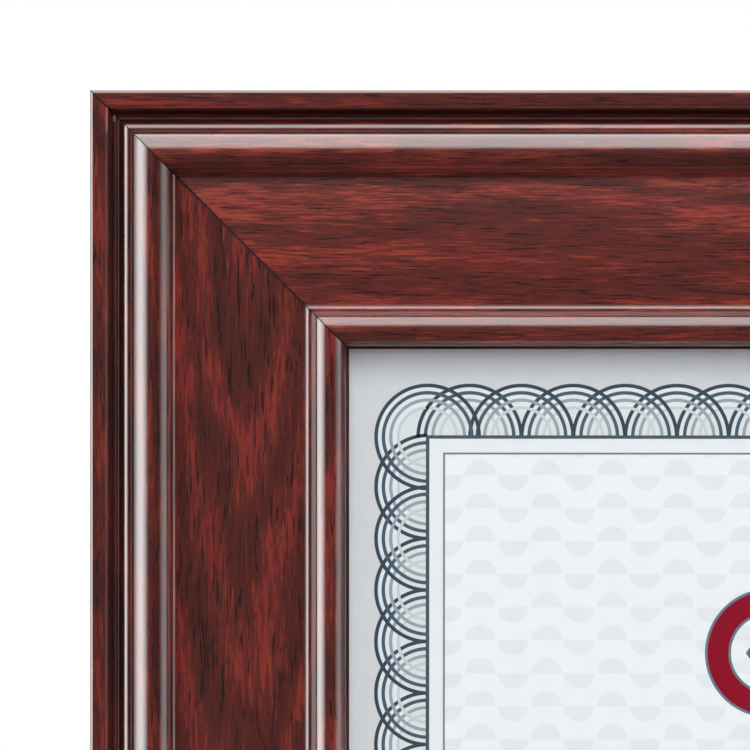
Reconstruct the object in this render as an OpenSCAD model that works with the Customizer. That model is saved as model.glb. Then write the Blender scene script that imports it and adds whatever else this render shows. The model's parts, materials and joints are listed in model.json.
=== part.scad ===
// Certificate frame for a landscape letter-size sheet. Four mitred mahogany rails with a
// beaded moulding hold the glass, the sheet and its backing in a rabbet. Turn buttons keep
// the backing board in, and two sawtooth hangers let the frame hang either way round.
// X runs to the right, Z up and Y towards the wall, so the face looks to -Y. The origin is
// in the wall plane, at the notch of the top hanger that sits on the nail.

/* [Sheet and backing] */
// Width of the sheet
sheet_w = 279.4; // [240:0.1:430]
// Height of the sheet
sheet_h = 215.9; // [180:0.1:300]
// Thickness of the sheet
sheet_t = 0.25; // [0.1:0.05:0.5]
// Thickness of the glass
glass_t = 2.0; // [1.6:0.1:3]
// Thickness of the board that the sheet is mounted on
mount_board_t = 1.4; // [1:0.1:2.5]
// Thickness of the corrugated pad
filler_t = 3.6; // [2:0.1:6]
// Thickness of the hardboard back
backing_t = 3.0; // [2:0.1:4]

/* [Moulding] */
// Width of the moulding, seen from the front
moulding_w = 38.1; // [34:0.1:60]
// How far the lip covers the edge of the glass
lip_cover = 6.35; // [5:0.05:8]
// Room between the sheet and the rabbet, at each edge
rabbet_room = 1.6; // [0.8:0.1:3]
// Radius of the large bead
bead_r = 3.1; // [2.5:0.1:3.2]
// Radius of the bead at the sight edge
sight_bead_r = 2.57; // [2:0.01:2.6]
// How far the flat panel swells at its middle
panel_swell = 0.55; // [0.2:0.05:1]

/* [Hardware] */
// Length of a turn button
button_len = 21; // [18:0.5:22]
// Thickness of a turn button
button_t = 0.9; // [0.6:0.1:1]
// Distance of the outer turn buttons from the middle of the long rails
button_spread = 85; // [60:1:100]
// Length of a sawtooth hanger
hanger_len = 45; // [40:1:60]
// Thickness of the rubber bumpers, which sets the gap to the wall
bumper_t = 2.5; // [2.4:0.1:5]

/* [Hidden] */
$fn = 64;
eps = 1;

// Openings and outside size
rabbet_w = sheet_w + 2 * rabbet_room;
rabbet_h = sheet_h + 2 * rabbet_room;
sight_w = rabbet_w - 2 * lip_cover;
sight_h = rabbet_h - 2 * lip_cover;
outer_w = sight_w + 2 * moulding_w;
outer_h = sight_h + 2 * moulding_w;

// The stack fills the rabbet, flush with the back of the rails
rabbet_d = glass_t + sheet_t + mount_board_t + filler_t + backing_t;
rabbet_u = moulding_w - lip_cover;
stack_gap = 0.8;

// Heights of the moulding above its back face
lip_top = rabbet_d + 1.35;
panel_edge_top = rabbet_d + 3.35;
ledge_top = panel_edge_top + 0.7;
rim_top = rabbet_d + 4.75;
bead_axis = rabbet_d + 5.15;
sight_bead_axis = rabbet_d + 3.15;
quirk_axis = rabbet_d + 2.5;
quarter_top = rabbet_d + 4.2;

// Stations of the moulding, from its outer edge
rim_w = 2.8;
quirk_r = 0.7;
quirk_u = rim_w + quirk_r + 0.45;
quarter_r = 1.1;
quarter_u = quirk_u + quirk_r;
bead_u = quarter_u + quarter_r + bead_r + 0.27;
panel_u = bead_u + bead_r + 0.43;
panel_end_u = moulding_w - 6.55;
sight_bead_u = moulding_w - sight_bead_r - 0.43;
sight_lean = 55;
lean_u = sight_bead_u - sight_bead_r * sin(sight_lean);
lean_top = sight_bead_axis + sight_bead_r * cos(sight_lean);
lean_foot_u = lean_u - (lean_top - ledge_top) / tan(sight_lean);
rim_edge_r = 0.5;
rim_inner_r = 0.9;
ledge_edge_r = 0.8;
sight_ledge_r = 0.75;
fine_edge_r = 0.3;
panel_chord = panel_end_u - panel_u;
panel_r = (panel_chord * panel_chord / 4 + panel_swell * panel_swell) / (2 * panel_swell);

// Turn buttons and their screws
button_r = 5;
button_tip_r = 3.6;
button_u = rabbet_u - 5;
button_reach = button_len - button_r - button_tip_r;
button_slack = 0.1;
button_hole_r = 1.42;
screw_r = 1.35;
screw_len = 8.5;
screw_tip = 2.2;
screw_head_r = 2.6;
screw_head_t = 1.1;
pilot_r = 1.1;

// Sawtooth hangers and their nails
hanger_w = 7.5;
hanger_u = 7;
hanger_t = 0.7;
hanger_rise = 1.4;
hanger_tab = 6.5;
hanger_leg = 2.5;
tooth_pitch = 2.4;
tooth_d = 1.5;
tooth_land = 0.3;
nail_r = 0.6;
nail_hole_r = 0.65;
nail_len = 9;
nail_head_r = 1.5;
nail_head_t = 0.5;
nail_x = hanger_len / 2 - 3.4;

// Nails across the mitres and bumpers
v_nail_leg = 4.5;
v_nail_t = 0.4;
v_nail_h = 7;
v_nail_u = [6, 23];
bumper_r = 5;
bumper_u = 15.9;

// The notch that carries the frame, above the middle of the frame
notch_z = outer_h / 2 - hanger_u - hanger_w / 2 + tooth_d;

// Places its children from the middle of the rails' back plane
module from_frame_middle() translate([0, -bumper_t, -notch_z]) children();

// Places its children on one side of the frame: X along the rail, Z = 0 at its outer edge
// and -Z towards the middle. The angles of the sides are top 0, right 90, bottom 180, left 270.
module on_side(angle) {
    offset_z = angle % 180 == 0 ? outer_h / 2 : outer_w / 2;
    from_frame_middle() rotate([0, angle, 0]) translate([0, 0, offset_z]) children();
}

// Rail profile: x is the distance from the outer edge, y the height above the back face

// The waste outside a rounded corner at [x, y], for a corner that points to +x or -x and up
module corner_waste(x, y, r, side) {
    translate([x, y]) difference() {
        translate([side > 0 ? -r : -eps, -r]) square([r + eps, r + eps]);
        translate([-side * r, -r]) circle(r);
    }
}

module rim_profile() {
    difference() {
        square([rim_w, rim_top]);
        corner_waste(0, rim_top, rim_edge_r, -1);
        corner_waste(rim_w, rim_top, rim_inner_r, 1);
    }
}

// The sunk quirk inside the rim, and the quarter round between it and the large bead
module quirk_profile() {
    difference() {
        polygon([
            [rim_w - eps, 0], [bead_u, 0], [bead_u, quarter_top], [quarter_u, quarter_top],
            [quarter_u, quirk_axis], [quirk_u - quirk_r, quirk_axis],
            [rim_w, rim_top - rim_inner_r], [rim_w - eps, rim_top - rim_inner_r]
        ]);
        translate([quirk_u, quirk_axis]) circle(quirk_r);
        corner_waste(quarter_u, quarter_top, quarter_r, -1);
    }
}

module bead_profile() {
    translate([bead_u, bead_axis]) circle(bead_r);
    translate([bead_u - bead_r, 0]) square([2 * bead_r, bead_axis]);
    difference() {
        translate([bead_u, 0]) square([panel_u - bead_u, ledge_top]);
        corner_waste(panel_u, ledge_top, ledge_edge_r, 1);
    }
}

module panel_profile() {
    intersection() {
        translate([panel_u - eps, 0]) square([panel_chord + 2 * eps, ledge_top + eps]);
        translate([panel_u + panel_chord / 2, panel_edge_top + panel_swell - panel_r])
            circle(panel_r, $fn = 256);
    }
}

// The bead at the sight edge leans on its ledge with a short straight slope
module sight_profile() {
    translate([sight_bead_u, sight_bead_axis]) circle(sight_bead_r);
    polygon([
        [lean_foot_u, ledge_top - eps], [lean_u, ledge_top - eps],
        [lean_u, lean_top], [lean_foot_u, ledge_top]
    ]);
    translate([sight_bead_u - sight_bead_r, 0]) square([2 * sight_bead_r, sight_bead_axis]);
    difference() {
        translate([panel_end_u, 0]) square([sight_bead_u - panel_end_u, ledge_top]);
        corner_waste(panel_end_u, ledge_top, sight_ledge_r, -1);
    }
    difference() {
        translate([sight_bead_u, 0]) square([moulding_w - sight_bead_u, lip_top]);
        corner_waste(moulding_w, lip_top, fine_edge_r, 1);
    }
}

module rail_profile() {
    difference() {
        union() {
            rim_profile();
            quirk_profile();
            bead_profile();
            panel_profile();
            sight_profile();
        }
        translate([rabbet_u, -eps]) square([lip_cover + 2 * eps, rabbet_d + eps]);
    }
}

// A rail with both ends cut at 45 degrees, on the side's own axes
module rail_blank(length) {
    intersection() {
        translate([length / 2, 0, 0]) rotate([0, 90, 180]) linear_extrude(length) rail_profile();
        rotate([90, 0, 0]) translate([0, 0, -eps]) linear_extrude(rabbet_d + 20) polygon([
            [-length / 2 - eps, eps], [length / 2 + eps, eps],
            [length / 2 - moulding_w - eps, -moulding_w - eps],
            [-length / 2 + moulding_w + eps, -moulding_w - eps]
        ]);
    }
}

// A round hole of depth h into the back of a rail, at x along it and u from its outer edge
module back_hole(x, u, r, h) translate([x, eps, -u]) rotate([90, 0, 0]) cylinder(r = r, h = h + eps);

// button_x lists where the rail's turn buttons stand, and hanger tells whether it has a hanger
module rail(angle, button_x, hanger) {
    color([0.42, 0.17, 0.14]) difference() {
        on_side(angle) difference() {
            rail_blank(angle % 180 == 0 ? outer_w : outer_h);
            for (x = button_x) back_hole(x, button_u, pilot_r, screw_len);
            if (hanger) for (s = [-1, 1]) back_hole(s * nail_x, hanger_u, nail_r, nail_len);
        }
        for (sx = [-1, 1], sz = [-1, 1]) v_nail_pair(sx, sz);
    }
}

module top_rail() rail(0, [-button_spread, button_spread], true);
module right_rail() rail(90, [0], true);
module bottom_rail() rail(180, [-button_spread, button_spread], false);
module left_rail() rail(270, [0], false);

// Two bent steel strips across one mitre, driven in flush from the back
module v_nail_pair(sx, sz) {
    from_frame_middle() for (u = v_nail_u)
        translate([sx * (outer_w / 2 - u), 0, sz * (outer_h / 2 - u)])
            mirror([sx > 0 ? 1 : 0, 0, 0]) mirror([0, 0, sz > 0 ? 1 : 0])
                rotate([90, 0, 0]) linear_extrude(v_nail_h) difference() {
                    square(v_nail_leg);
                    translate([v_nail_t, v_nail_t]) square(v_nail_leg);
                }
}

module v_nails(sx, sz) color([0.62, 0.63, 0.65]) v_nail_pair(sx, sz);

// A flat layer of the stack, centred in the frame, with its front face at the given height
module layer(w, h, t, front) {
    from_frame_middle() translate([-w / 2, -front, -h / 2]) cube([w, t, h]);
}

stack_w = rabbet_w - 2 * stack_gap;
stack_h = rabbet_h - 2 * stack_gap;
sheet_front = rabbet_d - glass_t;
mount_board_front = sheet_front - sheet_t;
filler_front = mount_board_front - mount_board_t;

module glass() color([0.8, 0.9, 0.9, 0.35]) layer(stack_w, stack_h, glass_t, rabbet_d);
module certificate() color([0.93, 0.94, 0.96]) layer(sheet_w, sheet_h, sheet_t, sheet_front);
module mount_board() color([0.95, 0.93, 0.87]) layer(stack_w, stack_h, mount_board_t, mount_board_front);
module filler_pad() color([0.72, 0.56, 0.37]) layer(stack_w, stack_h, filler_t, filler_front);
module backing_board() color([0.36, 0.24, 0.16]) layer(stack_w, stack_h, backing_t, backing_t);

// Outline of a turn button: a round eye, a round tip and the lines that touch both
module button_outline() {
    lean = acos((button_r - button_tip_r) / button_reach);
    circle(button_r);
    translate([0, -button_reach]) circle(button_tip_r);
    polygon([
        [-button_r * sin(lean), -button_r * cos(lean)],
        [-button_tip_r * sin(lean), -button_reach - button_tip_r * cos(lean)],
        [button_tip_r * sin(lean), -button_reach - button_tip_r * cos(lean)],
        [button_r * sin(lean), -button_r * cos(lean)]
    ]);
}

// Lies on the back of the rail with a little slack and reaches over the backing board
module turn_button(angle, x) {
    color([0.75, 0.62, 0.35]) on_side(angle)
        translate([x, button_slack + button_t, -button_u]) rotate([90, 0, 0])
            linear_extrude(button_t) difference() {
                button_outline();
                circle(button_hole_r);
            }
}

// Pan-head wood screw with a cross recess, its head towards the wall
module screw() {
    head_y = 2 * button_slack + button_t;
    rotate([-90, 0, 0]) {
        translate([0, 0, screw_tip - screw_len])
            cylinder(r = screw_r, h = screw_len - screw_tip + head_y);
        translate([0, 0, -screw_len]) cylinder(r1 = 0.15, r2 = screw_r, h = screw_tip);
        translate([0, 0, head_y]) difference() {
            intersection() {
                cylinder(r = screw_head_r, h = screw_head_t);
                translate([0, 0, screw_head_t - 2 * screw_head_r]) sphere(2 * screw_head_r);
            }
            for (turn = [0, 90]) rotate([0, 0, turn])
                translate([-1.3, -0.25, screw_head_t - 0.6]) cube([2.6, 0.5, eps]);
        }
    }
}

module turn_button_screws() {
    color([0.7, 0.7, 0.72]) {
        for (angle = [0, 180], x = [-button_spread, button_spread])
            on_side(angle) translate([x, 0, -button_u]) screw();
        for (angle = [90, 270]) on_side(angle) translate([0, 0, -button_u]) screw();
    }
}

// Stamped strip with a raised bridge, whose toothed lower edge hangs on the wall's nail
module hanger(angle) {
    bridge = hanger_len / 2 - hanger_tab - hanger_leg;
    teeth = floor(bridge / tooth_pitch);
    color([0.72, 0.73, 0.75]) on_side(angle) translate([0, 0, -hanger_u]) difference() {
        intersection() {
            translate([0, 0, -hanger_w / 2]) linear_extrude(hanger_w) polygon([
                [-hanger_len / 2, 0], [-bridge - hanger_leg, 0], [-bridge, hanger_rise],
                [bridge, hanger_rise], [bridge + hanger_leg, 0], [hanger_len / 2, 0],
                [hanger_len / 2, hanger_t], [bridge + hanger_leg - 0.3, hanger_t],
                [bridge - 0.3, hanger_rise + hanger_t], [0.3 - bridge, hanger_rise + hanger_t],
                [0.3 - bridge - hanger_leg, hanger_t], [-hanger_len / 2, hanger_t]
            ]);
            translate([0, 5, 0]) rotate([90, 0, 0]) linear_extrude(10) union() {
                for (s = [-1, 1]) translate([s * (hanger_len - hanger_w) / 2, 0]) circle(hanger_w / 2);
                square([hanger_len - hanger_w, hanger_w], center = true);
            }
        }
        for (s = [-1, 1]) translate([s * nail_x, eps, 0]) rotate([90, 0, 0])
            cylinder(r = nail_hole_r, h = 2 * eps);
        translate([0, 5, -hanger_w / 2]) rotate([90, 0, 0]) linear_extrude(10)
            for (i = [-teeth:teeth]) translate([i * tooth_pitch, 0]) polygon([
                [(tooth_land - tooth_pitch) / 2, -eps], [(tooth_pitch - tooth_land) / 2, -eps],
                [(tooth_pitch - tooth_land) / 2, 0], [0, tooth_d], [(tooth_land - tooth_pitch) / 2, 0]
            ]);
    }
}

module hanger_nails() {
    color([0.7, 0.7, 0.72]) for (angle = [0, 90], s = [-1, 1])
        on_side(angle) translate([s * nail_x, 0, -hanger_u]) rotate([-90, 0, 0]) {
            translate([0, 0, -nail_len]) cylinder(r = nail_r, h = nail_len + hanger_t);
            translate([0, 0, hanger_t]) cylinder(r = nail_head_r, h = nail_head_t);
        }
}

module bumpers() {
    color([0.12, 0.12, 0.13]) from_frame_middle() for (sx = [-1, 1], sz = [-1, 1])
        translate([sx * (outer_w / 2 - bumper_u), 0, sz * (outer_h / 2 - bumper_u)])
            rotate([-90, 0, 0]) cylinder(r = bumper_r, h = bumper_t);
}

top_rail();
bottom_rail();
left_rail();
right_rail();
v_nails(-1, 1);  // v_nails_top_left
v_nails(1, 1);  // v_nails_top_right
v_nails(-1, -1);  // v_nails_bottom_left
v_nails(1, -1);  // v_nails_bottom_right
glass();
certificate();
mount_board();
filler_pad();
backing_board();
turn_button(0, -button_spread);  // turn_button_top_left
turn_button(0, button_spread);  // turn_button_top_right
turn_button(180, button_spread);  // turn_button_bottom_left
turn_button(180, -button_spread);  // turn_button_bottom_right
turn_button(270, 0);  // turn_button_left
turn_button(90, 0);  // turn_button_right
turn_button_screws();
hanger(0);  // top_hanger
hanger(90);  // side_hanger
hanger_nails();
bumpers();
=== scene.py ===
"""Looks for the certificate frame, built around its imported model.

Metres, in the model's frame: X to the right, Y into the wall, Z up.
The moulding's section is drawn in millimetres: u from its outer edge, d above its back.
"""
import json
import math

import bmesh
import bpy
from mathutils import Matrix, Vector

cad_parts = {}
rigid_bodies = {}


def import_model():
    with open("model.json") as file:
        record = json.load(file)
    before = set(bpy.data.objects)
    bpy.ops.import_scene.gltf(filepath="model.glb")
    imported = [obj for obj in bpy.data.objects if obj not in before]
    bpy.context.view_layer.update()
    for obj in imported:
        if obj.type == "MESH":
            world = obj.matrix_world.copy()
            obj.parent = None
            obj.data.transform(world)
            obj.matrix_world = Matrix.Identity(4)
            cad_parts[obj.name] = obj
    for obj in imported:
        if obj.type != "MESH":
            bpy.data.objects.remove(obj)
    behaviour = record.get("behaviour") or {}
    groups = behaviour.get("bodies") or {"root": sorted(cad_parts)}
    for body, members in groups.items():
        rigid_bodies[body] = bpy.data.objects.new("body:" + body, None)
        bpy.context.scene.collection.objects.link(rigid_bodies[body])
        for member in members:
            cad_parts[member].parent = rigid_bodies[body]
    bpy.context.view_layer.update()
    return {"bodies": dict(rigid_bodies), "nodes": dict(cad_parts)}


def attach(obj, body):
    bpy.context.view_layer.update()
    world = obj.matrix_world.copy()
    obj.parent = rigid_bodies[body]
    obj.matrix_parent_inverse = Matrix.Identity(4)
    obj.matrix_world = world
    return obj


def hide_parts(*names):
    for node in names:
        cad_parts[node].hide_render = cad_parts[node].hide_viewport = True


for leftover in list(bpy.data.objects):
    bpy.data.objects.remove(leftover)

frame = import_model()

MM = 0.001
OUTER_W, OUTER_H = 346.1, 282.6
MOULDING_W = 38.1
MIDDLE_Z = -132.05
WALL_GAP = 2.5
BACK_Y = -WALL_GAP

# Rabbet and stack, as distances from the outer edge and heights above the back of the rails
RABBET_U, LIP_BACK = 31.75, 10.25
STACK_W, STACK_H = 281.0, 217.5
SHEET_W, SHEET_H = 279.4, 215.9
SHEET_BACK, SHEET_FRONT, GLASS_BACK = 8.01, 8.19, 8.25

# The glue film in a mitre: half its thickness, and how far it lies below the surface
JOINT, FILM_SUNK = 0.09, 0.28


# Working helpers

def only(piece):
    """Leaves one piece selected and active."""
    if bpy.context.mode != "OBJECT":
        bpy.ops.object.mode_set(mode="OBJECT")
    bpy.ops.object.select_all(action="DESELECT")
    piece.select_set(True)
    bpy.context.view_layer.objects.active = piece
    return piece


def edit(piece):
    """Enters edit mode with the whole piece selected."""
    only(piece)
    bpy.ops.object.mode_set(mode="EDIT")
    bpy.ops.mesh.select_mode(type="VERT")
    bpy.ops.mesh.select_all(action="SELECT")


def done():
    bpy.ops.object.mode_set(mode="OBJECT")


def pick(kind, test):
    """In edit mode, selects the corners, edges or faces that pass the test."""
    bpy.ops.mesh.select_mode(type=kind)
    bpy.ops.mesh.select_all(action="DESELECT")
    shape = bmesh.from_edit_mesh(bpy.context.edit_object.data)
    for item in {"VERT": shape.verts, "EDGE": shape.edges, "FACE": shape.faces}[kind]:
        if test(item):
            item.select_set(True)
    shape.select_flush_mode()
    bmesh.update_edit_mesh(bpy.context.edit_object.data)


def named(name):
    piece = bpy.context.view_layer.objects.active
    piece.name = piece.data.name = name
    return piece


def settle(piece):
    """Puts a piece's place into its mesh, so that its object sits at the origin."""
    only(piece)
    bpy.ops.object.transform_apply(location=True, rotation=True, scale=True)
    return piece


def modify(piece, kind, **settings):
    """Adds a modifier and applies it."""
    only(piece)
    step = piece.modifiers.new(kind.title(), kind)
    for key, value in settings.items():
        setattr(step, key, value)
    bpy.ops.object.modifier_apply(modifier=step.name)
    return piece


def break_edges(piece, width, segments=2, angle=38):
    """Takes the sharpness off the corners, by a width in millimetres."""
    modify(piece, "BEVEL", width=width * MM, segments=segments, limit_method="ANGLE",
           angle_limit=math.radians(angle), miter_outer="MITER_ARC", use_clamp_overlap=True)
    only(piece)
    bpy.ops.object.shade_smooth_by_angle(angle=math.radians(angle))
    return modify(piece, "WEIGHTED_NORMAL", keep_sharp=True, weight=60)


def twin(piece, name, place=None):
    """A copy with its own mesh, moved by a matrix."""
    copy = bpy.data.objects.new(name, piece.data.copy())
    bpy.context.collection.objects.link(copy)
    if place is not None:
        copy.data.transform(place)
        if place.is_negative:
            copy.data.flip_normals()
    return copy


def joined(name, parts):
    bpy.ops.object.select_all(action="DESELECT")
    for part in parts:
        part.select_set(True)
    bpy.context.view_layer.objects.active = parts[0]
    if len(parts) > 1:
        bpy.ops.object.join()
    return named(name)


def fit(piece, finish, body="frame", stands_for=()):
    """Gives a finished piece its material and ties it to the model."""
    if finish is not None:
        piece.data.materials.clear()
        for each in (finish if isinstance(finish, (list, tuple)) else [finish]):
            piece.data.materials.append(each)
    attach(piece, body)
    if stands_for:
        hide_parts(*stands_for)
    return piece


# Node helpers for the materials

def tone(r, g, b):
    """A colour as it is seen on screen, 0 to 255, as the shader wants it."""
    def light(value):
        value /= 255
        return value / 12.92 if value <= 0.04045 else ((value + 0.055) / 1.055) ** 2.4
    return (light(r), light(g), light(b), 1)


def put(tree, kind, inputs=None, **settings):
    node = tree.nodes.new(kind)
    for key, value in settings.items():
        setattr(node, key, value)
    for key, value in (inputs or {}).items():
        if isinstance(value, bpy.types.NodeSocket):
            tree.links.new(value, node.inputs[key])
        else:
            node.inputs[key].default_value = value
    return node


def sum_of(tree, operation, *values, clamp=False):
    node = put(tree, "ShaderNodeMath", dict(enumerate(values)), operation=operation, use_clamp=clamp)
    return node.outputs[0]


def vector(tree, operation, *values, scale=None):
    inputs = dict(enumerate(values))
    if scale is not None:
        inputs["Scale"] = scale
    return put(tree, "ShaderNodeVectorMath", inputs, operation=operation).outputs[0]


def ramp(tree, value, low, high, to_low=0.0, to_high=1.0):
    node = put(tree, "ShaderNodeMapRange", {0: value, 1: low, 2: high, 3: to_low, 4: to_high},
               interpolation_type="SMOOTHSTEP")
    return node.outputs[0]


def strip_of(tree, value, rise, fall):
    """1 between two places and 0 outside them, with a soft rise and a soft fall."""
    return sum_of(tree, "MULTIPLY", ramp(tree, value, *rise), ramp(tree, value, *fall, 1.0, 0.0))


def greatest(tree, *values):
    most = values[0]
    for value in values[1:]:
        most = sum_of(tree, "MAXIMUM", most, value)
    return most


def quarter_turn(tree, place):
    """The place turned about Y, so that what runs along X runs along Z."""
    return put(tree, "ShaderNodeMapping", {0: place, 2: (0.0, math.radians(90), 0.0)}).outputs[0]


def noise(tree, place, size, detail=2.0, rough=0.5, twist=0.0):
    """Noise whose grains are about 1/size long on each axis."""
    stretched = vector(tree, "MULTIPLY", place, size)
    node = put(tree, "ShaderNodeTexNoise", {"Vector": stretched, "Scale": 1.0, "Detail": detail,
                                            "Roughness": rough, "Distortion": twist})
    return node.outputs[0]


def mixed(tree, amount, first, second, way="MIX"):
    node = put(tree, "ShaderNodeMix", {0: amount, 6: first, 7: second}, data_type="RGBA", blend_type=way)
    return node.outputs[2]


def group(name, ins, outs):
    tree = bpy.data.node_groups.new(name, "ShaderNodeTree")
    for label, kind, start in ins:
        socket = tree.interface.new_socket(label, in_out="INPUT", socket_type="NodeSocket" + kind)
        if start is not None:
            socket.default_value = start
    for label, kind in outs:
        tree.interface.new_socket(label, in_out="OUTPUT", socket_type="NodeSocket" + kind)
    return tree, tree.nodes.new("NodeGroupInput"), tree.nodes.new("NodeGroupOutput")


def use(tree, name, **inputs):
    node = tree.nodes.new("ShaderNodeGroup")
    node.node_tree = bpy.data.node_groups[name]
    for key, value in inputs.items():
        key = key.replace("_", " ")
        if isinstance(value, bpy.types.NodeSocket):
            tree.links.new(value, node.inputs[key])
        else:
            node.inputs[key].default_value = value
    return node.outputs


def material(name):
    """A new material: its tree, its shader and the object's own coordinates."""
    made = bpy.data.materials.new(name)
    made.use_nodes = True
    tree = made.node_tree
    place = tree.nodes.new("ShaderNodeTexCoord").outputs["Object"]
    return made, tree, tree.nodes["Principled BSDF"], place


def bump(tree, height, strength, depth):
    node = put(tree, "ShaderNodeBump", {"Height": height, "Strength": strength, "Distance": depth * MM})
    return node.outputs[0]


# Shared effects

def wood_figure():
    """Colour, pores and fibre of open-pored wood whose grain runs along X."""
    tree, have, give = group(
        "wood figure",
        [("Place", "Vector", None), ("Board", "Float", 0.0), ("Middle", "Float", 0.0),
         ("Slope", "Float", 0.05), ("Fineness", "Float", 1.0), ("Porosity", "Float", 0.0),
         ("Base", "Color", None), ("Streak", "Color", None), ("Pore", "Color", None),
         ("Shade", "Color", None), ("Streaks", "Float", 1.0)],
        [("Color", "Color"), ("Pores", "Float"), ("Fibre", "Float")])
    bare_place = vector(tree, "SCALE", have.outputs["Place"], scale=1000.0)
    offset = vector(tree, "SCALE", (61.0, 13.0, 29.0), scale=have.outputs["Board"])
    place = vector(tree, "ADD", bare_place, offset)
    parts = put(tree, "ShaderNodeSeparateXYZ", {0: bare_place})
    patch = noise(tree, place, (0.03, 0.15, 0.15), 2.0, 0.5, 0.4)
    bend = sum_of(tree, "SUBTRACT", noise(tree, place, (0.035, 0.13, 0.13), 2.0), 0.5)
    across = sum_of(tree, "ADD", sum_of(tree, "SUBTRACT", parts.outputs[2], have.outputs["Middle"]),
                    sum_of(tree, "MULTIPLY", bend, 9.0))
    arms = sum_of(tree, "SQRT", sum_of(tree, "MULTIPLY_ADD", across, across, 5.0))
    growth = sum_of(tree, "MULTIPLY_ADD", parts.outputs[0], have.outputs["Slope"], arms)
    rings = sum_of(tree, "SINE", sum_of(tree, "ADD", growth, sum_of(tree, "MULTIPLY", patch, 7.0)))
    crossed = vector(tree, "MULTIPLY", place, put(tree, "ShaderNodeCombineXYZ", {
        0: 1.0, 1: have.outputs["Fineness"], 2: have.outputs["Fineness"]}).outputs[0])
    streak = noise(tree, crossed, (0.2, 2.3, 2.3), 4.0, 0.66)
    figure = sum_of(tree, "ADD", sum_of(tree, "MULTIPLY", rings, 0.085),
                    sum_of(tree, "MULTIPLY", sum_of(tree, "SUBTRACT", patch, 0.5), 0.14))
    red = ramp(tree, sum_of(tree, "ADD", streak, figure), 0.51, 0.65)
    pores = noise(tree, vector(tree, "ADD", crossed, (7.0, 31.0, 3.0)), (0.18, 3.0, 3.0), 3.0, 0.62)
    fewer = sum_of(tree, "SUBTRACT", sum_of(tree, "MULTIPLY", figure, 0.1), have.outputs["Porosity"])
    dark = ramp(tree, sum_of(tree, "SUBTRACT", pores, fewer), 0.56, 0.67)
    paler = sum_of(tree, "MULTIPLY_ADD", sum_of(tree, "SUBTRACT", streak, 0.5), 0.5, figure)
    shade = ramp(tree, sum_of(tree, "SUBTRACT", 0.5, paler), 0.48, 0.66)
    fibre = noise(tree, place, (0.5, 7.5, 7.5), 2.0, 0.7)
    colour = mixed(tree, sum_of(tree, "MULTIPLY", shade, 0.75), have.outputs["Base"], have.outputs["Shade"])
    crimson = vector(tree, "MULTIPLY", have.outputs["Streak"], (0.94, 0.72, 1.25))
    tint = ramp(tree, noise(tree, place, (0.09, 0.55, 0.55), 2.0), 0.42, 0.58)
    colour = mixed(tree, sum_of(tree, "MULTIPLY", red, have.outputs["Streaks"]), colour,
                   mixed(tree, tint, have.outputs["Streak"], crimson))
    colour = mixed(tree, sum_of(tree, "MULTIPLY", dark, 0.85), colour, have.outputs["Pore"])
    lift = ramp(tree, fibre, 0.3, 0.7, 0.86, 1.14)
    colour = vector(tree, "SCALE", colour, scale=lift)
    tree.links.new(colour, give.inputs["Color"])
    tree.links.new(dark, give.inputs["Pores"])
    tree.links.new(fibre, give.inputs["Fibre"])


def fine_scratches():
    """Fine crossing scratches and a slow mottle, for sheet metal and glass."""
    tree, have, give = group(
        "fine scratches", [("Place", "Vector", None), ("Lines per mm", "Float", 4.0)],
        [("Scratches", "Float"), ("Mottle", "Float")])
    place = vector(tree, "SCALE", have.outputs["Place"], scale=1000.0)
    fine = vector(tree, "SCALE", place, scale=have.outputs["Lines per mm"])
    one = noise(tree, fine, (0.06, 1.0, 1.0), 2.0, 0.6)
    turned = put(tree, "ShaderNodeMapping", {0: fine, 2: (0.0, math.radians(67), 0.0)}).outputs[0]
    two = noise(tree, turned, (0.05, 1.0, 1.0), 2.0, 0.6)
    lines = sum_of(tree, "MAXIMUM", ramp(tree, one, 0.6, 0.74), ramp(tree, two, 0.62, 0.76))
    tree.links.new(lines, give.inputs["Scratches"])
    tree.links.new(noise(tree, place, (0.22, 0.22, 0.22), 3.0), give.inputs["Mottle"])


def paper_fibre():
    """Cloudy look-through and short surface fibres of paper and board."""
    tree, have, give = group(
        "paper fibre", [("Place", "Vector", None), ("Size", "Float", 1.0)],
        [("Cloud", "Float"), ("Fibre", "Float")])
    place = vector(tree, "SCALE", vector(tree, "SCALE", have.outputs["Place"], scale=1000.0),
                   scale=have.outputs["Size"])
    tree.links.new(noise(tree, place, (0.35, 0.35, 0.35), 3.0), give.inputs["Cloud"])
    tree.links.new(noise(tree, place, (3.2, 3.2, 3.2), 3.0, 0.7, 1.2), give.inputs["Fibre"])


wood_figure()
fine_scratches()
paper_fibre()


# Finishes

# Level rails are given lighter, redder tones than the uprights: painted light, the look of a rail lit from
# above, on both level rails; the grain's fineness and the pores are the wood's own
LEVEL_WOOD = dict(Fineness=1.3, Porosity=0.03, Streaks=0.8, Base=tone(98, 38, 31), Streak=tone(152, 59, 42),
                  Pore=tone(42, 25, 24), Shade=tone(72, 31, 28))
UPRIGHT_WOOD = dict(Fineness=0.8, Porosity=0.02, Streaks=0.8, Base=tone(86, 33, 27), Streak=tone(131, 46, 33),
                    Pore=tone(34, 19, 18), Shade=tone(60, 25, 22))
BARE_WOOD = dict(Middle=400.0, Slope=0.02, Streaks=0.5, Base=tone(158, 104, 74), Streak=tone(176, 112, 78),
                 Pore=tone(92, 55, 40), Shade=tone(138, 88, 64))
# The dark colour for the line along each mitre, the darker rim, and painted shade in the groove, on the
# bead's inward slope and on the sight edge's inner flank
DARK_STAIN_AND_SHADE = tone(30, 11, 9)

# How strongly painted shade darkens the groove, how much darker the rim is, and how much lacquer the groove
# lacks, on a level rail and on an upright
QUIRK_PAINTED_SHADE, RIM_DARKENING, QUIRK_DULL = (0.8, 0.65), (0.22, 0.06), (0.7, 0.0)


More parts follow.
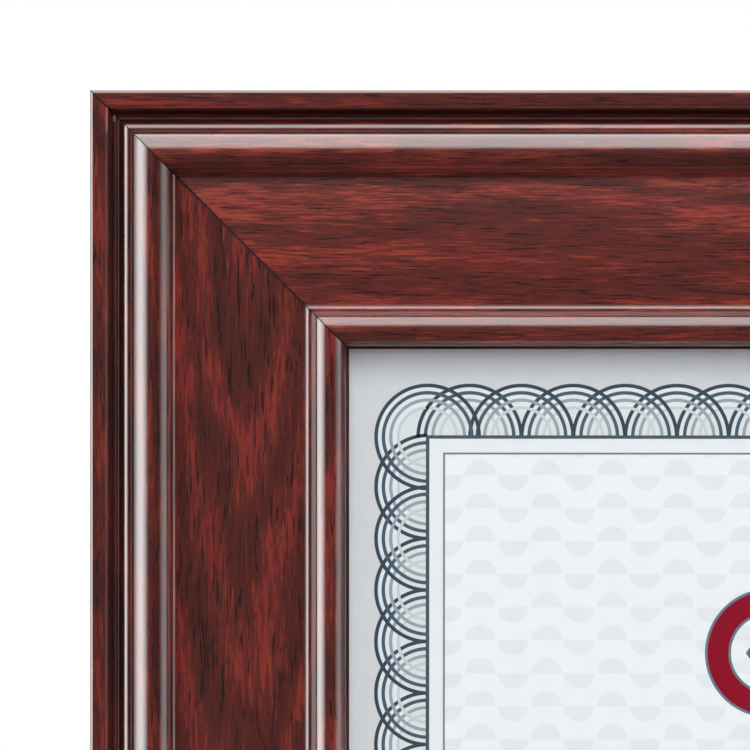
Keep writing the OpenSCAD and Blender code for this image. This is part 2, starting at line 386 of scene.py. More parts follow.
def lacquered_mahogany(name, seed, upright, middle, slope, reach):
    """Deep red-brown mahogany under clear gloss lacquer, with a dark line along each mitre, a darker rim, and
    painted shade low in the groove, on the bead's inward slope and on the sight edge's inner flank.

    The distance inward from the rail's outer edge tells the forms of the moulding apart, in millimetres.
    """
    made, tree, shader, place = material(name)
    parts = put(tree, "ShaderNodeSeparateXYZ", {0: vector(tree, "SCALE", place, scale=1000.0)})
    aside, level = parts.outputs[0], sum_of(tree, "SUBTRACT", parts.outputs[2], MIDDLE_Z)
    off_middle, along = (aside, level) if upright else (level, aside)
    inward = sum_of(tree, "SUBTRACT", reach, sum_of(tree, "ABSOLUTE", off_middle))
    half_length = (OUTER_H if upright else OUTER_W) / 2
    from_end = sum_of(tree, "SUBTRACT", half_length, sum_of(tree, "ABSOLUTE", along))
    from_mitre = sum_of(tree, "SUBTRACT", from_end, inward)

    # Painted shade low in the groove beside the rim, deeper on level rails
    low_down = ramp(tree, parts.outputs[1], BACK_Y - 14.5, BACK_Y - 13.2)
    quirk = sum_of(tree, "MULTIPLY", low_down, strip_of(tree, inward, (2.2, 2.7), (5.1, 5.5)))
    # The rim made darker, more so on level rails
    rim = ramp(tree, inward, 2.9, 3.2, RIM_DARKENING[upright], 0.0)
    # Painted shade on the bead's inward slope
    hollow = strip_of(tree, inward, (9.0, 9.7), (11.2, 12.0))
    # Painted shade on the sight bead's inner flank, where the lacquer is also made thinner
    flank = ramp(tree, inward, 36.8, 37.4, 0.0, 0.6)
    # A dark line along each mitre
    seam = ramp(tree, from_mitre, 0.14, 0.34, 0.9, 0.0)
    stain_and_painted_shade = greatest(tree, sum_of(tree, "MULTIPLY", quirk, QUIRK_PAINTED_SHADE[upright]), rim, flank,
                     sum_of(tree, "MULTIPLY", hollow, 0.4), seam)
    dull = greatest(tree, flank, sum_of(tree, "MULTIPLY", quirk, QUIRK_DULL[upright]))

    wood = use(tree, "wood figure", Place=quarter_turn(tree, place) if upright else place, Board=seed,
               Middle=middle, Slope=slope, **(UPRIGHT_WOOD if upright else LEVEL_WOOD))
    # The wood mixed towards the dark colour: the mitre line, the darker rim and the painted shade
    tree.links.new(mixed(tree, stain_and_painted_shade, wood["Color"], DARK_STAIN_AND_SHADE), shader.inputs["Base Color"])
    tree.links.new(ramp(tree, wood["Fibre"], 0.2, 0.8, 0.38, 0.5), shader.inputs["Roughness"])
    tree.links.new(bump(tree, wood["Pores"], 0.25, 0.05), shader.inputs["Normal"])
    tree.links.new(sum_of(tree, "SUBTRACT", 1.0, dull), shader.inputs["Coat Weight"])
    shader.inputs["Specular IOR Level"].default_value = 0.1
    shader.inputs["Coat Roughness"].default_value = 0.13
    shader.inputs["Coat IOR"].default_value = 1.75
    return made


def bare_mahogany(name, seed, upright):
    """Sawn wood on the back and in the rabbet, touched by wood dye."""
    made, tree, shader, place = material(name)
    wood = use(tree, "wood figure", Place=quarter_turn(tree, place) if upright else place, Board=seed,
               **BARE_WOOD)
    tree.links.new(wood["Color"], shader.inputs["Base Color"])
    tree.links.new(ramp(tree, wood["Fibre"], 0.2, 0.8, 0.62, 0.8), shader.inputs["Roughness"])
    height = sum_of(tree, "SUBTRACT", sum_of(tree, "MULTIPLY", wood["Fibre"], 0.4), wood["Pores"])
    tree.links.new(bump(tree, height, 0.6, 0.08), shader.inputs["Normal"])
    return made


def picture_glass():
    """Clear float glass. Light to and from the sheet passes straight through, as in thin glass."""
    made, tree, shader, place = material("picture_glass")
    marks = use(tree, "fine scratches", Place=place, Lines_per_mm=0.6)
    tree.links.new(ramp(tree, marks["Mottle"], 0.3, 0.8, 0.0, 0.012), shader.inputs["Roughness"])
    shader.inputs["Base Color"].default_value = tone(252, 254, 254)
    shader.inputs["Metallic"].default_value = 0.0
    shader.inputs["Transmission Weight"].default_value = 1.0
    shader.inputs["IOR"].default_value = 1.5
    clear = put(tree, "ShaderNodeBsdfTransparent", {"Color": (0.98, 0.985, 0.985, 1)})
    path = tree.nodes.new("ShaderNodeLightPath")
    past = greatest(tree, path.outputs["Is Shadow Ray"], path.outputs["Is Diffuse Ray"])
    off_print = sum_of(tree, "SUBTRACT", path.outputs["Is Glossy Ray"], path.outputs["Is Transmission Ray"])
    past = sum_of(tree, "MAXIMUM", past, off_print, clamp=True)
    both = put(tree, "ShaderNodeMixShader", {0: past, 1: shader.outputs[0], 2: clear.outputs[0]})
    tree.links.new(both.outputs[0], tree.nodes["Material Output"].inputs["Surface"])
    return made


def certificate_stock():
    """The printed sheet: grey-white margin, brighter panel and a pale ground of half rounds."""
    made, tree, shader, place = material("certificate_stock")
    parts = put(tree, "ShaderNodeSeparateXYZ", {0: vector(tree, "SCALE", place, scale=1000.0)})
    x, z = parts.outputs[0], parts.outputs[2]
    fibre = use(tree, "paper fibre", Place=place, Size=1.0)

    def half_rounds(shift, sign):
        """Half rounds in rows, their straight side below (1) or above (-1)."""
        column = sum_of(tree, "FRACT", sum_of(
            tree, "DIVIDE", sum_of(tree, "SUBTRACT", x, FIELD_X + shift), FIELD_PITCH))
        row = sum_of(tree, "FRACT", sum_of(
            tree, "DIVIDE", sum_of(tree, "SUBTRACT", z, FIELD_Z), FIELD_ROW * sign))
        sideways = sum_of(tree, "MULTIPLY", sum_of(tree, "SUBTRACT", column, 0.5), FIELD_PITCH)
        height = sum_of(tree, "MULTIPLY", row, FIELD_ROW)
        squares = [sum_of(tree, "MULTIPLY", each, each) for each in (sideways, height)]
        far = sum_of(tree, "SQRT", sum_of(tree, "ADD", *squares))
        return ramp(tree, far, FIELD_R - 0.12, FIELD_R + 0.06, 1.0, 0.0)

    def inside(value, low, high):
        return sum_of(tree, "MULTIPLY", sum_of(tree, "GREATER_THAN", value, low),
                      sum_of(tree, "LESS_THAN", value, high))

    rounds = sum_of(tree, "ADD", half_rounds(0.0, 1), half_rounds(FIELD_PITCH / 2, -1), clamp=True)
    rule = sum_of(tree, "MULTIPLY", inside(x, RULE_LEFT, -RULE_LEFT), inside(z, RULE_BOTTOM, RULE_TOP))
    box = sum_of(tree, "MULTIPLY", inside(x, BOX_LEFT, -BOX_LEFT), inside(z, BOX_BOTTOM, BOX_TOP))
    colour = mixed(tree, box, tone(206, 207, 211), tone(228, 230, 234))
    colour = mixed(tree, rule, colour, tone(233, 235, 238))
    colour = mixed(tree, sum_of(tree, "MULTIPLY", rounds, rule), colour, tone(224, 227, 230))
    colour = vector(tree, "SCALE", colour, scale=ramp(tree, fibre["Cloud"], 0.3, 0.7, 0.985, 1.01))
    tree.links.new(colour, shader.inputs["Base Color"])
    tree.links.new(bump(tree, fibre["Fibre"], 0.12, 0.02), shader.inputs["Normal"])
    tree.links.new(ramp(tree, fibre["Fibre"], 0.2, 0.8, 0.6, 0.72), shader.inputs["Roughness"])
    return made


def ink(name, colour, worn=0.06):
    """Printing ink, slightly uneven as it lies on the fibres."""
    made, tree, shader, place = material(name)
    fibre = use(tree, "paper fibre", Place=place, Size=2.2)
    pale = tuple(channel + (1 - channel) * worn for channel in colour[:3]) + (1,)
    patchy = mixed(tree, ramp(tree, fibre["Fibre"], 0.35, 0.75), colour, pale)
    tree.links.new(patchy, shader.inputs["Base Color"])
    tree.links.new(ramp(tree, fibre["Cloud"], 0.2, 0.8, 0.55, 0.68), shader.inputs["Roughness"])
    shader.inputs["Specular IOR Level"].default_value = 0.0
    return made


def board(name, face, fleck, size=1.0, rough=0.85):
    """Mount board, pad or hardboard: pressed fibre with flecks."""
    made, tree, shader, place = material(name)
    fibre = use(tree, "paper fibre", Place=place, Size=size)
    colour = mixed(tree, ramp(tree, fibre["Fibre"], 0.45, 0.7), face, fleck)
    colour = vector(tree, "SCALE", colour, scale=ramp(tree, fibre["Cloud"], 0.25, 0.75, 0.9, 1.08))
    tree.links.new(colour, shader.inputs["Base Color"])
    tree.links.new(ramp(tree, fibre["Cloud"], 0.2, 0.8, rough - 0.12, rough), shader.inputs["Roughness"])
    tree.links.new(bump(tree, fibre["Fibre"], 0.5, 0.08), shader.inputs["Normal"])
    return made


def metal(name, colour, dull, rough, lines):
    """Plated sheet or wire metal with fine scratches and a dulled mottle."""
    made, tree, shader, place = material(name)
    marks = use(tree, "fine scratches", Place=place, Lines_per_mm=lines)
    mottled = mixed(tree, ramp(tree, marks["Mottle"], 0.35, 0.75), colour, dull)
    worn = ramp(tree, marks["Mottle"], 0.2, 0.8, rough, rough + 0.14)
    worn = sum_of(tree, "MULTIPLY_ADD", marks["Scratches"], 0.18, worn)
    tree.links.new(mottled, shader.inputs["Base Color"])
    tree.links.new(worn, shader.inputs["Roughness"])
    tree.links.new(bump(tree, marks["Scratches"], 0.25, -0.01), shader.inputs["Normal"])
    shader.inputs["Metallic"].default_value = 1.0
    return made


def rubber():
    made, tree, shader, place = material("bumper_rubber_clear_grey")
    marks = use(tree, "paper fibre", Place=place, Size=0.8)
    dusty = mixed(tree, marks["Cloud"], tone(52, 50, 49), tone(70, 68, 66))
    tree.links.new(dusty, shader.inputs["Base Color"])
    tree.links.new(ramp(tree, marks["Fibre"], 0.2, 0.8, 0.55, 0.75), shader.inputs["Roughness"])
    tree.links.new(bump(tree, marks["Fibre"], 0.3, 0.03), shader.inputs["Normal"])
    return made


# Where the print lies: its line, its inner rule and the rows of half rounds
BOX_LEFT, BOX_TOP = -123.45, -41.89
BOX_BOTTOM = 2 * MIDDLE_Z - BOX_TOP
RULE_LEFT, RULE_TOP = -121.02, -44.33
RULE_BOTTOM = 2 * MIDDLE_Z - RULE_TOP
FIELD_X, FIELD_Z = -110.78, -47.52
FIELD_PITCH, FIELD_ROW, FIELD_R = 9.75, 4.88, 2.3


# The moulding

def curve(cu, cd, radius, start, stop, steps):
    """Points round a centre; degrees, 0 towards the sight edge and 90 towards the front."""
    turn = (stop - start) / steps
    return [(cu + radius * math.cos(math.radians(start + turn * k)),
             cd + radius * math.sin(math.radians(start + turn * k))) for k in range(steps + 1)]


def moulding_line():
    """The section, from the outer back corner over the front to the rabbet."""
    chord, rise = 18.9, 0.55
    swell = (chord ** 2 / 4 + rise ** 2) / (2 * rise)
    lean = math.degrees(math.asin(chord / 2 / swell))
    return ([(0, 0)]
            + curve(0.5, 14.5, 0.5, 180, 90, 8)
            + curve(1.9, 14.1, 0.9, 90, 0, 10)
            + curve(3.95, 12.75, 0.7, 180, 360, 16)
            + curve(5.75, 13.35, 1.1, 180, 90, 12)
            + [(6.02, 14.45)]
            + curve(9.12, 15.4, 3.1, 180, 0, 40)
            + curve(11.85, 13.5, 0.8, 62.5, 7, 8)
            + curve(22.1, 14.15 - swell, swell, 90 + lean, 90 - lean, 24)
            + curve(32.3, 13.55, 0.75, 176, 90, 10)
            + [(32.593, 14.3)]
            + curve(35.1, 13.4, 2.57, 145, 0, 30)
            + [(37.67, 11.6)]
            + curve(37.95, 11.45, 0.15, 90, 0, 4)
            + [(MOULDING_W, LIP_BACK), (RABBET_U, LIP_BACK), (RABBET_U, 0)])


def draw_section():
    """The section as one flat face at x = 0, drawn corner by corner; the outer edge at z = 0."""
    line = [Vector((0, BACK_Y - d, -u)) * MM for u, d in moulding_line()]
    bpy.ops.mesh.primitive_plane_add(size=MM, location=(0, 0, 0))
    section = named("moulding_section")
    edit(section)
    bpy.ops.mesh.merge(type="CENTER")
    bpy.ops.transform.translate(value=line[0])
    for before, after in zip(line, line[1:]):
        bpy.ops.mesh.extrude_vertices_move(TRANSFORM_OT_translate={"value": after - before})
    bpy.ops.mesh.select_all(action="SELECT")
    bpy.ops.mesh.edge_face_add()
    done()
    return section


def joint_line(section, length, reach, side):
    """The film of dark glue in a mitre: the section drawn in a little, as thick as the joint."""
    film = twin(section, "joint_line")
    edit(film)
    bpy.ops.mesh.inset(thickness=FILM_SUNK * MM, depth=0)
    bpy.ops.mesh.select_all(action="INVERT")
    bpy.ops.mesh.delete(type="FACE")
    bpy.ops.mesh.select_all(action="SELECT")
    bpy.ops.mesh.extrude_region_move(TRANSFORM_OT_translate={"value": (2 * JOINT * MM, 0, 0)})
    bpy.ops.mesh.select_all(action="SELECT")
    bpy.ops.mesh.normals_make_consistent(inside=False)
    done()
    slant = Matrix.Identity(4)
    slant[0][2] = side
    shift = Matrix.Translation(Vector((side * (length / 2) - JOINT, 0, reach)) * MM)
    film.data.transform(shift @ slant)
    return film


def model_rail(section, name, length, reach, angle, finishes, nails):
    """One length of moulding, mitred at both ends and turned to its side of the frame."""
    rail = twin(section, name, Matrix.Translation(Vector((-length / 2, 0, reach)) * MM))
    edit(rail)
    bpy.ops.mesh.extrude_region_move(TRANSFORM_OT_translate={"value": (length * MM, 0, 0)})
    bpy.ops.mesh.select_all(action="SELECT")
    bpy.ops.mesh.normals_make_consistent(inside=False)
    for side in (-1, 1):
        bpy.ops.mesh.select_all(action="SELECT")
        bpy.ops.mesh.bisect(plane_co=(side * (length / 2 - JOINT) * MM, 0, reach * MM),
                            plane_no=(-side, 0, 1), use_fill=True, clear_inner=True, clear_outer=False)
    bpy.ops.mesh.select_all(action="SELECT")
    bpy.ops.mesh.remove_doubles(threshold=1e-7)
    bpy.ops.mesh.normals_make_consistent(inside=False)
    done()
    break_edges(rail, width=0.06, segments=2, angle=33)
    for finish in finishes:
        rail.data.materials.append(finish)

    def left_bare(face):
        """The back and the rabbet."""
        middle = face.calc_center_median() / MM
        return (middle.y > BACK_Y - 0.05
                or (middle.y > BACK_Y - LIP_BACK - 0.05 and middle.z < reach - RABBET_U + 0.05))

    edit(rail)
    pick("FACE", left_bare)
    rail.active_material_index = 1
    bpy.ops.object.material_slot_assign()
    done()
    turned = Matrix.Translation((0, 0, MIDDLE_Z * MM)) @ Matrix.Rotation(math.radians(angle), 4, "Y")
    rail.data.transform(turned)
    for nail in nails:
        seat = merged(nail, "nail_seat")
        only(rail)
        cut = rail.modifiers.new("Seat", "BOOLEAN")
        cut.object, cut.operation, cut.solver = seat, "DIFFERENCE", "EXACT"
        bpy.ops.object.modifier_apply(modifier=cut.name)
        bpy.data.objects.remove(seat)
    modify(rail, "WEIGHTED_NORMAL", keep_sharp=True, weight=60)
    if len(finishes) > 2:
        films = [joint_line(section, length, reach, side) for side in (-1, 1)]
        for film in films:
            film.data.transform(turned)
            for finish in finishes:
                film.data.materials.append(finish)
            film.data.polygons.foreach_set("material_index", [2] * len(film.data.polygons))
        rail = joined(name, [rail] + films)
    return rail


def merged(node, name):
    """A copy of a model node with its loose triangles joined into whole faces."""
    piece = bpy.data.objects.new(name, frame["nodes"][node].data.copy())
    bpy.context.collection.objects.link(piece)
    edit(piece)
    bpy.ops.mesh.remove_doubles(threshold=2e-7)
    bpy.ops.mesh.dissolve_limited(angle_limit=math.radians(0.6), delimit={"NORMAL"})
    done()
    return piece


def eased(node, width, segments, finish, body="frame"):
    """A model node again, with its corners broken as a made part has them."""
    piece = merged(node, node + "_dressed")
    break_edges(piece, width, segments)
    return fit(piece, finish, body, (node,))


glue = board("joint_glue_dark", tone(30, 18, 16), tone(20, 12, 12), 2.0)
section = draw_section()

# Each rail's turn from the top one, its corners, its wood's seed, and its heart line with its slope
RAILS = {"top_rail": (0, ("top_left", "top_right"), 0.0, -15.2, 0.03),
         "right_rail": (90, ("top_right", "bottom_right"), 2.3, -150.0, -0.17),
         "bottom_rail": (180, ("bottom_left", "bottom_right"), 4.1, -254.0, 0.05),
         "left_rail": (270, ("top_left", "bottom_left"), 1.0, 150.0, -0.19)}
for node, (angle, corners, seed, heart, slope) in RAILS.items():
    upright = angle in (90, 270)
    length, reach = (OUTER_H, OUTER_W / 2) if upright else (OUTER_W, OUTER_H / 2)
    lacquer = lacquered_mahogany("lacquered_mahogany_" + node, seed, upright, heart, slope, reach)
    bare = bare_mahogany("bare_mahogany_" + node, seed + 7.0, upright)
    finishes = [lacquer, bare] if upright else [lacquer, bare, glue]
    piece = model_rail(section, node + "_moulding", length, reach, angle, finishes,
                       ["v_nails_" + corner for corner in corners])
    fit(piece, None, "frame", (node,))
bpy.data.objects.remove(section)


# Glass, sheet and boards

def slab(name, width, height, front, back, ease):
    """A flat sheet of the stack, by its size and its two faces' heights, with its edges broken."""
    bpy.ops.mesh.primitive_cube_add(size=1, location=(0, (BACK_Y - (front + back) / 2) * MM, MIDDLE_Z * MM))
    sheet = named(name)
    sheet.scale = (width * MM, (front - back) * MM, height * MM)
    settle(sheet)
    edit(sheet)
    pick("EDGE", lambda edge: abs(edge.verts[0].co.y - edge.verts[1].co.y) > 1e-6)
    bpy.ops.mesh.bevel(offset=ease * 3 * MM, offset_type="OFFSET", segments=3, affect="EDGES")
    done()
    break_edges(sheet, ease, segments=2, angle=40)
    only(sheet)
    bpy.ops.object.shade_flat()
    return sheet


fit(slab("glass_pane", STACK_W, STACK_H, LIP_BACK, GLASS_BACK, 0.25), picture_glass(),
    "frame", ("glass",))
fit(slab("certificate_sheet", SHEET_W, SHEET_H, SHEET_FRONT, SHEET_BACK, 0.02), certificate_stock(),
    "frame", ("certificate",))
cream = board("mount_board_cream", tone(236, 230, 214), tone(222, 214, 196), 1.4)
kraft = board("corrugated_pad_kraft", tone(176, 138, 92), tone(150, 112, 72), 0.9)
hardboard = board("hardboard_brown", tone(112, 78, 54), tone(84, 56, 38), 1.0, 0.8)
frame["nodes"]["mount_board"].data.materials[0] = cream
frame["nodes"]["filler_pad"].data.materials[0] = kraft
eased("backing_board", 0.3, 2, hardboard)


# The printed border

INK = {
    "line": ink("ink_slate_line", tone(77, 87, 97), 0.004),
    "rule": ink("ink_grey_rule", tone(120, 125, 132), 0.01),
    "ring_1": ink("ink_slate_dark", tone(61, 73, 85), 0.004),
    "ring_2": ink("ink_slate", tone(77, 92, 105), 0.006),
    "ring_3": ink("ink_grey", tone(152, 160, 170), 0.04),
    "ring_4": ink("ink_pale_green", tone(199, 208, 206), 0.05),
    "gap": ink("ink_pale_blue", tone(222, 229, 235), 0.2),
    "core": ink("ink_pale_green_ground", tone(215, 223, 224), 0.2),
    "outline": ink("ink_blue_slate", tone(102, 119, 135), 0.01),
    "crimson": ink("ink_crimson", tone(139, 19, 39), 0.003),
}
# Radius and stroke of each ring, and the two heights at which crossing strokes lie
RINGS = {"ring_1": (7.62, 0.54), "ring_2": (6.54, 0.52), "ring_3": (5.46, 0.48), "ring_4": (4.34, 0.44)}
LOW, HIGH = 0.010, 0.018

# Height by which every other arch stands off its neighbours, in the rings and in their grounds
RING_STEP, GROUND_STEP = 0.0012, 0.001


def band(name, inner, outer, sweep, left, right):
    """A ring of ink round the origin, over 180 or 270 degrees, whose legs may lie at two levels."""
    bpy.ops.mesh.primitive_circle_add(vertices=96, radius=inner * MM, fill_type="NOTHING",
                                      rotation=(math.radians(90), 0, 0))
    ring = settle(named(name))
    edit(ring)
    pick("VERT", lambda v: v.co.z < -1e-6 and (sweep == 180 or v.co.x > 1e-6))
    bpy.ops.mesh.delete(type="VERT")
    bpy.ops.mesh.select_mode(type="VERT")
    bpy.ops.mesh.select_all(action="SELECT")
    bpy.ops.mesh.extrude_region_move()
    bpy.ops.transform.resize(value=(outer / inner,) * 3, center_override=(0, 0, 0))
    bpy.ops.mesh.select_all(action="SELECT")
    bpy.ops.mesh.extrude_region_move(TRANSFORM_OT_translate={"value": (0, -LOW * MM, 0)})
    for side, level in ((-1, left), (1, right)):
        pick("VERT", lambda v: v.co.y < -LOW / 2 * MM and v.co.x * side > 0.4 * MM)
        bpy.ops.transform.translate(value=(0, (LOW - level) * MM, 0))
    bpy.ops.mesh.select_all(action="SELECT")
    bpy.ops.mesh.normals_make_consistent(inside=False)
    done()
    return ring


def half_disc(radius, height, sweep):
    """A half round of ink, its straight side down, or three quarters of a round for a corner."""
    bpy.ops.mesh.primitive_circle_add(vertices=64, radius=radius * MM, fill_type="TRIFAN",
                                      rotation=(math.radians(90), 0, 0))
    disc = settle(named("fill"))
    edit(disc)
    pick("FACE", lambda face: face.calc_center_median().z < 0
         and (sweep == 180 or face.calc_center_median().x > 0))
    bpy.ops.mesh.delete(type="FACE")
    bpy.ops.mesh.select_all(action="SELECT")
    bpy.ops.mesh.dissolve_limited(angle_limit=math.radians(1))
    bpy.ops.mesh.select_all(action="SELECT")
    bpy.ops.mesh.extrude_region_move(TRANSFORM_OT_translate={"value": (0, -height * MM, 0)})
    bpy.ops.mesh.select_all(action="SELECT")
    bpy.ops.mesh.normals_make_consistent(inside=False)
    done()
    return disc


def bar(name, left, right, bottom, top, height):
    """A straight stroke of ink on the sheet, by its edges in millimetres."""
    bpy.ops.mesh.primitive_cube_add(size=1, location=(
        (left + right) / 2 * MM, (BACK_Y - SHEET_FRONT - height / 2) * MM, (bottom + top) / 2 * MM))
    stroke = named(name)
    stroke.scale = ((right - left) * MM, height * MM, (top - bottom) * MM)
    return settle(stroke)


def frame_of_bars(name, left, top, level, upright, height):
    """Four strokes round the sheet's middle, in two widths: level strokes and upright ones."""
    bottom = 2 * MIDDLE_Z - top
    tall, wide = level / 2, upright / 2
    return joined(name, [
        bar("stroke", left - wide, -left + wide, top - tall, top + tall, height),
        bar("stroke", left - wide, -left + wide, bottom - tall, bottom + tall, height),
        bar("stroke", left - wide, left + wide, bottom + tall, top - tall, height),
        bar("stroke", -left - wide, -left + wide, bottom + tall, top - tall, height)])


def stations(length, first, near):
    """Centres of the arches along one side: at a set spacing for a few at each end, even between."""
    span = length - 2 * first
    count = round(span / near)
    ends = 6
    middle = (span - 2 * ends * near) / (count - 2 * ends)
    places = [first]
    for k in range(count):
        places.append(places[-1] + (near if k < ends or k >= count - ends else middle))
    return places


def border_side(length, reach, first, near, run, angle, kinds, order):
    """Adds the places of one side's arches, sorted by kind and listed in order."""
    turn = (Matrix.Translation(Vector((0, BACK_Y - SHEET_FRONT, MIDDLE_Z)) * MM)
            @ Matrix.Rotation(math.radians(angle), 4, "Y"))
    centres = stations(length, first, near)
    for k, along in enumerate(centres):
        if k in (0, len(centres) - 1):
            kind = "flat"
        elif k == 1:
            kind = "over"
        else:
            kind = "far_over" if run > 0 else "near_over"
        x = (-length / 2 + along) * run
        place = turn @ Matrix.Translation(Vector((x, 0, reach)) * MM)
        kinds.setdefault((kind, k // 2 % 2), []).append(place)
        order.append((k, place))


def print_border():
    """The border: four rings of ink in every arch over pale grounds, and its line and rule."""
    width, height = -2 * BOX_LEFT, BOX_TOP - BOX_BOTTOM
    # Length, distance from the middle, first centre, spacing and running direction of a side
    level_side, upright_side = (width, height / 2, 6.2, 7.66, 1), (height, width / 2, 7.39, 7.61, -1)
    kinds, order = {}, []
    for angle, side in ((0, level_side), (270, upright_side), (180, level_side), (90, upright_side)):
        border_side(*side, angle, kinds, order)
    levels = {"flat": (LOW, LOW), "over": (HIGH, HIGH), "far_over": (LOW, HIGH), "near_over": (HIGH, LOW)}
    corners = []
    for angle, x, z in ((0, BOX_LEFT, BOX_TOP), (90, -BOX_LEFT, BOX_TOP),
                        (180, -BOX_LEFT, BOX_BOTTOM), (270, BOX_LEFT, BOX_BOTTOM)):
        corners.append(Matrix.Translation(Vector((x, BACK_Y - SHEET_FRONT, z)) * MM)
                       @ Matrix.Rotation(math.radians(angle), 4, "Y"))
    for ring, (radius, thick) in RINGS.items():
        parts = []
        for (kind, odd), places in kinds.items():
            left, right = (level + RING_STEP * odd for level in levels[kind])
            one = band("arch", radius - thick / 2, radius + thick / 2, 180, left, right)
            parts += [twin(one, "arch", place) for place in places]
            bpy.data.objects.remove(one)
        top = HIGH + 2 * RING_STEP
        one = band("corner", radius - thick / 2, radius + thick / 2, 270, top, top)
        parts += [twin(one, "corner", place) for place in corners]
        bpy.data.objects.remove(one)
        fit(joined("border_" + ring, parts), INK[ring])
    for name, radius, ground in (("gap", 7.4, 0.002), ("core", 4.25, 0.006)):
        parts = []
        for odd in (0, 1):
            one = half_disc(radius, ground + GROUND_STEP * odd, 180)
            parts += [twin(one, "fill", place) for k, place in order if k % 2 == odd]
            bpy.data.objects.remove(one)
        one = half_disc(radius, ground + 2 * GROUND_STEP, 270)
        parts += [twin(one, "fill", place) for place in corners]
        bpy.data.objects.remove(one)
        fit(joined("border_ground_" + name, parts), INK[name])
    line = frame_of_bars("border_line", BOX_LEFT, BOX_TOP, 0.5, 0.52, 0.024)
    rule = frame_of_bars("border_rule", RULE_LEFT, RULE_TOP, 0.28, 0.28, 0.010)
    fit(line, INK["line"])
    fit(rule, INK["rule"])


def mark(outer, inner, sides, lean, height):
    """A flat printed form by its corners' radius: a round, a lozenge, or a ring if inner is given."""
    bpy.ops.mesh.primitive_circle_add(vertices=sides, radius=outer * MM, fill_type="NGON",
                                      location=(0, 0, 0), rotation=(math.radians(90), 0, 0))
    form = named("mark")
    form.scale = (lean, 1, 1)
    settle(form)
    edit(form)
    if inner:
        bpy.ops.mesh.inset(thickness=(outer - inner) * MM, depth=0)
        bpy.ops.mesh.delete(type="FACE")
        bpy.ops.mesh.select_all(action="SELECT")
    bpy.ops.mesh.extrude_region_move(TRANSFORM_OT_translate={"value": (0, -height * MM, 0)})
    bpy.ops.mesh.select_all(action="SELECT")
    bpy.ops.mesh.normals_make_consistent(inside=False)
    done()
    return form


def print_middle():
    """A row of plain rosettes where the heading would stand, and blank lines to write on."""
    count, pitch, heading_z = 5, 36.45, -73.8
    for name, shrink, height in (("outline", 0.0, 0.010), ("crimson", 0.38, 0.015)):
        ring = mark(9.55 - shrink, 5.7 + shrink, 96, 1.0, height)
        tall = mark(4.9 - shrink * 1.6, 0, 4, 0.72, height)
        small = mark(2.5 - shrink * 1.2, 0, 4, 1.6, height)
        parts = []
        for k in range(count):
            place = Vector((pitch * (k - (count - 1) / 2), BACK_Y - SHEET_FRONT, heading_z))
            between = place + Vector((pitch / 2, 0, 0))
            parts += [twin(each, "mark", Matrix.Translation(place * MM)) for each in (ring, tall)]
            if k < count - 1:
                parts.append(twin(small, "mark", Matrix.Translation(between * MM)))
        for each in (ring, tall, small):
            bpy.data.objects.remove(each)
        fit(joined("heading_rosettes_" + name, parts), INK[name])
    half = 0.13
    lines = [bar("stroke", left, right, level - half, level + half, 0.010) for left, right, level in (
        (-85, 85, -128), (-60, 60, -160), (-60, 60, -172), (-98, -22, -207), (22, 98, -207))]
    fit(joined("writing_lines", lines), INK["rule"])


print_border()
print_middle()


# Hardware on the back

brass = metal("button_brass", tone(206, 172, 96), tone(182, 146, 78), 0.26, 5.0)
zinc = metal("zinc_screw_steel", tone(196, 198, 202), tone(160, 162, 168), 0.3, 4.0)
strip = metal("hanger_steel_bright", tone(200, 198, 192), tone(168, 164, 154), 0.28, 4.0)
nail_steel = metal("v_nail_steel_grey", tone(150, 152, 156), tone(112, 112, 116), 0.34, 4.0)
for body in frame["bodies"]:
    if body != "frame":
        eased(body, 0.14, 3, brass, body)
eased("turn_button_screws", 0.06, 2, zinc)
eased("top_hanger", 0.08, 2, strip)
eased("side_hanger", 0.08, 2, strip)
eased("hanger_nails", 0.08, 2, zinc)
eased("bumpers", 0.5, 3, rubber())
for node in frame["nodes"]:
    if node.startswith("v_nails"):
        frame["nodes"][node].data.materials[0] = nail_steel


# Floor, light and camera

FLOOR_Z = -273.45


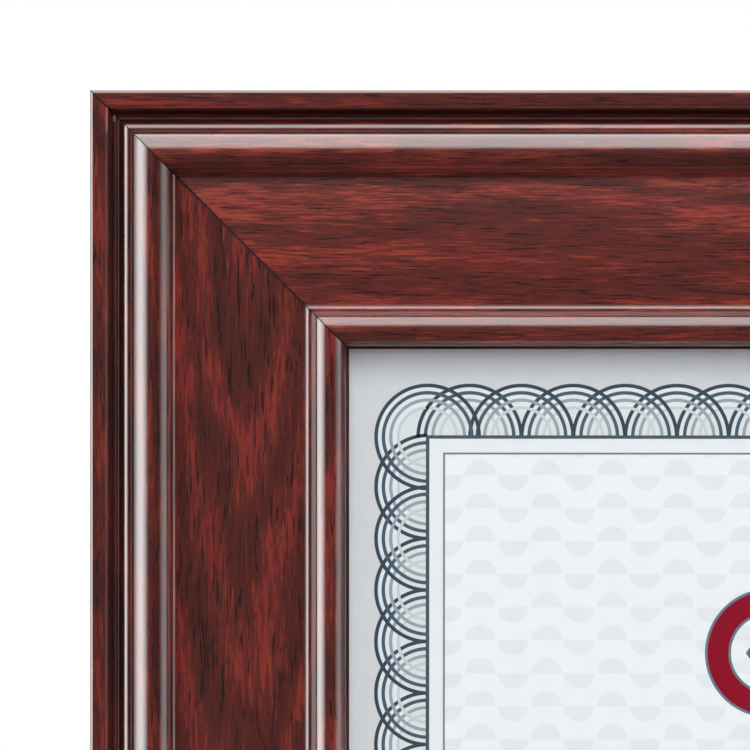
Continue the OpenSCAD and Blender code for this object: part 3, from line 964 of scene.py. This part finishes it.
def light_room():
    """Pale floor, white surround, and softboxes above, in front, to both sides and behind."""
    bpy.ops.mesh.primitive_plane_add(size=5, location=(0, 0.4, FLOOR_Z * MM))
    floor = named("studio_floor")
    made, _, shader, _ = material("studio_floor_pale")
    shader.inputs["Base Color"].default_value = (0.86, 0.86, 0.86, 1)
    shader.inputs["Roughness"].default_value = 0.9
    shader.inputs["Specular IOR Level"].default_value = 0.0
    floor.data.materials.append(made)
    floor.visible_glossy = False

    world = bpy.data.worlds.new("studio_surround")
    bpy.context.scene.world = world
    world.use_nodes = True
    tree = world.node_tree
    path = tree.nodes.new("ShaderNodeLightPath")
    where = put(tree, "ShaderNodeSeparateXYZ", {0: tree.nodes.new("ShaderNodeTexCoord").outputs["Generated"]})
    behind = ramp(tree, where.outputs[1], -0.12, 0.3, 0.03, 1.0)
    seen = greatest(tree, path.outputs["Is Camera Ray"], path.outputs["Is Transmission Ray"])
    mirrored = sum_of(tree, "MULTIPLY", path.outputs["Is Glossy Ray"], behind)
    other = sum_of(tree, "SUBTRACT", 1.0, greatest(tree, seen, path.outputs["Is Glossy Ray"]))
    strength = greatest(tree, sum_of(tree, "MULTIPLY_ADD", other, 0.2, mirrored), seen)
    tree.links.new(strength, tree.nodes["Background"].inputs["Strength"])
    tree.nodes["Background"].inputs["Color"].default_value = (1, 1, 1, 1)

    def softbox(name, place, target, wide, high, radiance, fade=(0.0, 0.0), shine=True, spread=True):
        """A soft lamp of a plain brightness that falls off towards its edges."""
        data = bpy.data.lights.new(name, "AREA")
        data.shape, data.size, data.size_y = "RECTANGLE", wide, high
        data.energy = radiance * math.pi * wide * high
        if max(fade) > 0:
            data.use_nodes = True
            glow = data.node_tree
            across = glow.nodes.new("ShaderNodeNewGeometry").outputs["Parametric"]
            at = put(glow, "ShaderNodeSeparateXYZ", {0: across})
            level = None
            for axis, width in enumerate(fade):
                if width > 0:
                    far_edge = sum_of(glow, "SUBTRACT", 1.0, at.outputs[axis])
                    away = sum_of(glow, "MINIMUM", at.outputs[axis], far_edge)
                    soft = ramp(glow, away, 0.0, width)
                    level = soft if level is None else sum_of(glow, "MULTIPLY", level, soft)
            glow.links.new(level, glow.nodes["Emission"].inputs["Strength"])
        lamp = bpy.data.objects.new(name, data)
        bpy.context.collection.objects.link(lamp)
        lamp.location = Vector(place)
        lamp.rotation_euler = (Vector(target) - lamp.location).to_track_quat("-Z", "Y").to_euler()
        lamp.visible_camera = False
        lamp.visible_glossy, lamp.visible_diffuse = shine, spread

    middle = Vector((0, -0.016, -0.13))

    def around(side, turn, far):
        """A point at an angle off the line of sight, towards a side given as a unit vector."""
        turn = math.radians(turn)
        return middle + far * Vector((side[0] * math.sin(turn), -math.cos(turn), side[1] * math.sin(turn)))

    # Place, aim, width, height and brightness, and the share over which its edges fade
    softbox("softbox_top", around((0, 1), 74, 1.6), middle, 1.3, 5.2, 4.2, (0.0, 0.3), spread=False)
    softbox("softbox_left", around((-1, 0), 66, 1.5), middle + Vector((0, 0, 0.07)), 2.9, 0.6, 8.2,
            (0.5, 0.0), spread=False)
    softbox("softbox_right", around((1, 0), 70, 1.6), middle, 2.2, 0.45, 2.1, (0.45, 0.0))
    softbox("softbox_front", around((0.25, 0.97), 29, 2.2), middle, 1.5, 1.5, 6.05, shine=False)
    softbox("softbox_back_left", (-1.1, 1.5, 0.9), (0, 0, -0.13), 1.3, 1.3, 2.6, shine=False)
    softbox("softbox_back_right", (1.2, 1.4, 0.4), (0, 0, -0.13), 1.0, 1.4, 1.6, shine=False)


def set_camera():
    """Straight on, as the photograph, with a long lens; the picture's width in metres at the face."""
    lens, sensor, picture_w = 420, 36, 0.1103
    face_y, aim_x, aim_z = -0.0175, -0.13114, -0.03266
    data = bpy.data.cameras.new("camera")
    data.lens, data.sensor_width = lens, sensor
    camera = bpy.data.objects.new("camera", data)
    bpy.context.collection.objects.link(camera)
    camera.location = (aim_x, face_y - lens * picture_w / sensor, aim_z)
    camera.rotation_euler = (math.radians(90), 0, 0)
    bpy.context.scene.camera = camera


light_room()
set_camera()
bpy.context.scene.view_settings.view_transform = "Standard"
